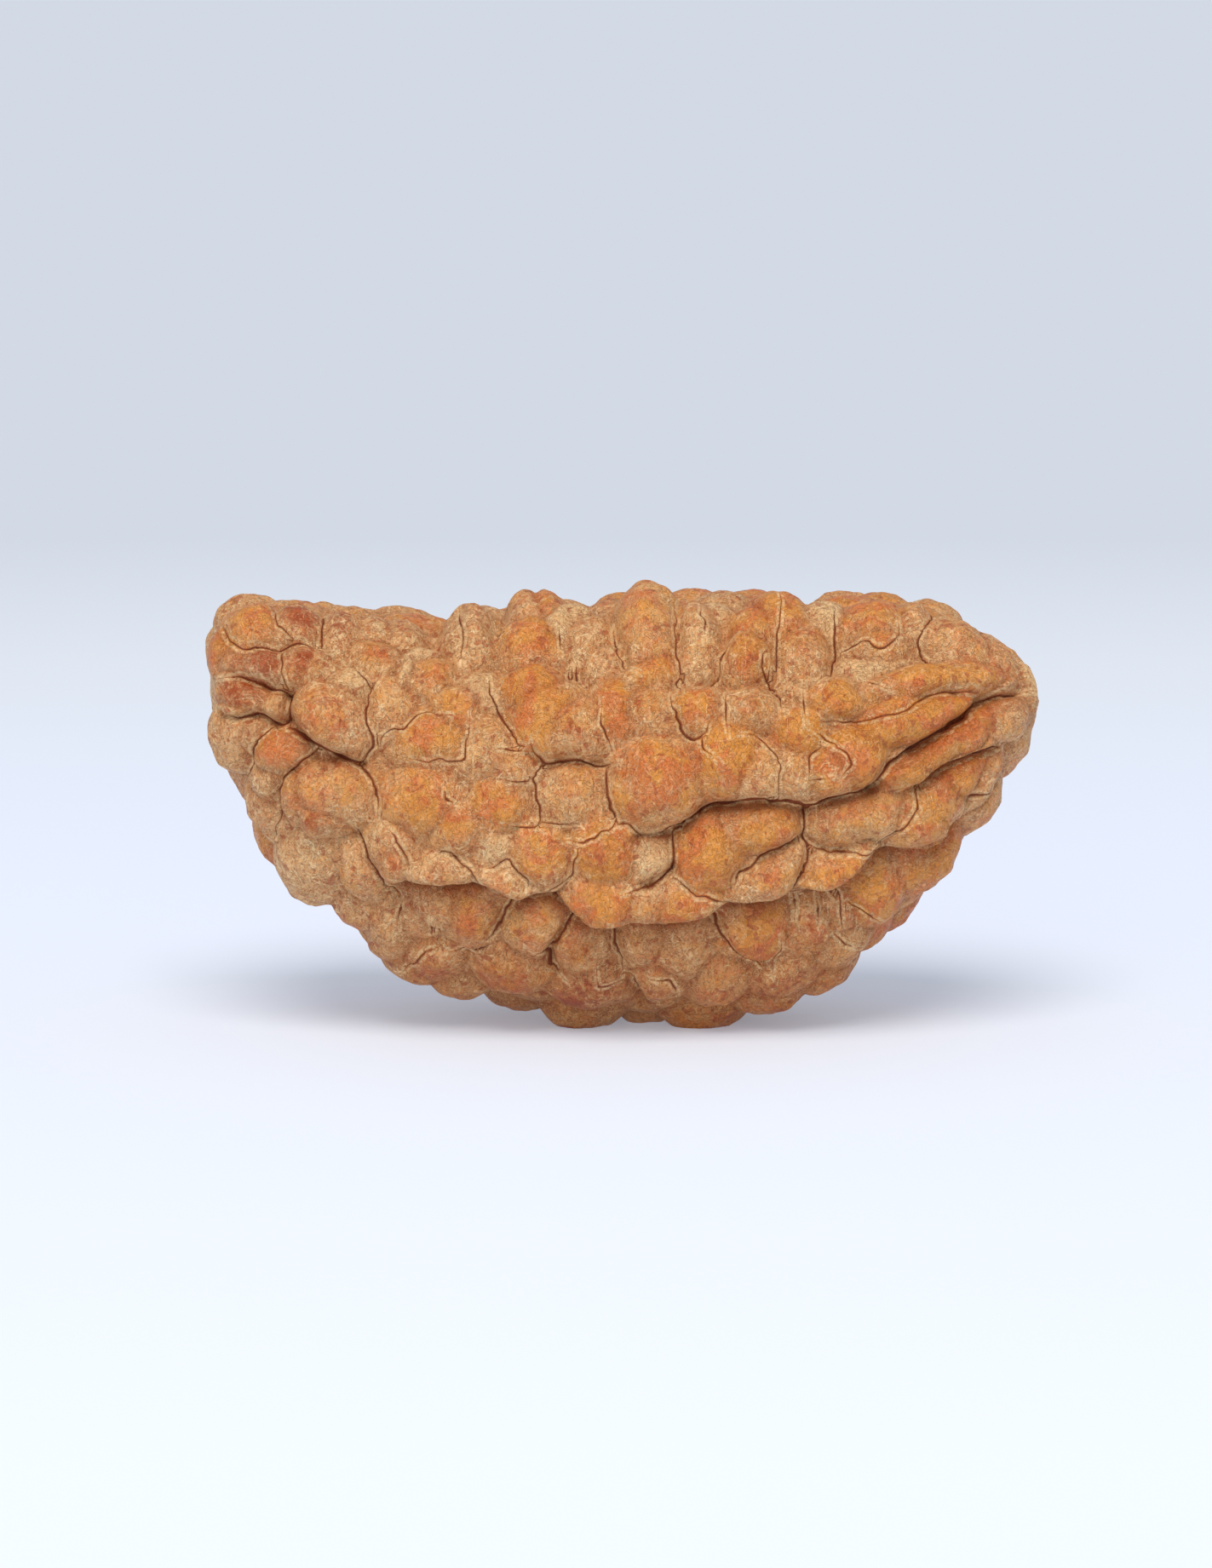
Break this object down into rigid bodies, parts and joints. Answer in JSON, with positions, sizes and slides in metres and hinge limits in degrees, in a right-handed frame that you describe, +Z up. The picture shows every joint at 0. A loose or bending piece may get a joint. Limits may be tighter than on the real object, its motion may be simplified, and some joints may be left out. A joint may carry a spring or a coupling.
{
  "type": "rudraksha seed",
  "caption": "Half-moon rudraksha seed: a hard tan stone covered in rounded cushions and creases, resting on its curved edge.",
  "frame": {"origin": "centre of the seed's bounding box in plan, on the plane that the seed rests on", "axes": "+X along the seed from its blunt end to its pointed stalk end, -Y out of the face that the picture shows, +Z up from the rest plane"},
  "size_m": [0.028, 0.0118, 0.0151],
  "materials": {
    "seed_stone": "matte"
  },
  "bodies": {
    "root": {"rudraksha_seed": "seed_stone"}
  },
  "joints": []
}
